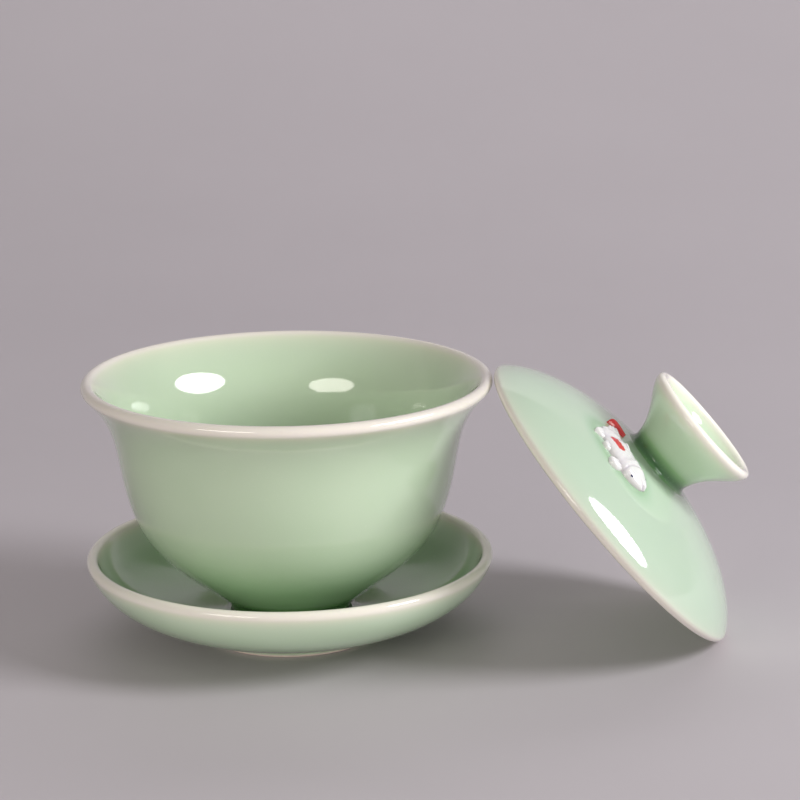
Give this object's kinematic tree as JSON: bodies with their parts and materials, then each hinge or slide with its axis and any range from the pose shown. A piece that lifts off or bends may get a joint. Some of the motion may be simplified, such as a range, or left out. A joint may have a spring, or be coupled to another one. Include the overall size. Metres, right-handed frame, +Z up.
{
  "type": "gaiwan",
  "caption": "Lidded tea bowl in three loose pieces: a flared cup standing on a footed saucer, and a domed lid with a hollow ring knob and a koi relief, leaning on the cup.",
  "frame": {"origin": "centre of the saucer's foot ring, on the table", "axes": "+Z up along the axis of the cup and saucer; +X from that axis towards the leaning lid"},
  "size_m": [0.162, 0.1, 0.0657],
  "materials": {
    "saucer_glaze": "glossy celadon glaze over white porcelain, bare at the foot ring",
    "cup_glaze": "glossy celadon glaze over white porcelain, thin and cream at the lip",
    "lid_glaze": "glossy celadon glaze over white porcelain, thin and cream at the edge",
    "knob_glaze": "glossy celadon glaze over white porcelain, pooled green at the neck",
    "koi_white": "glossy white relief with red patches and a dark eye under clear glaze"
  },
  "bodies": {
    "saucer": {"saucer": "saucer_glaze"},
    "cup": {"cup": "cup_glaze"},
    "lid": {"lid": "lid_glaze", "lid_knob": "knob_glaze", "koi": "koi_white"}
  },
  "joints": [
    {"name": "cup_lift", "type": "slide", "parent": "saucer", "child": "cup", "axis": [0, 0, 1], "range_m": [0, 0.08]},
    {"name": "lid_lift", "type": "slide", "parent": "saucer", "child": "lid", "axis": [0, 0, 1], "range_m": [0, 0.08]}
  ]
}
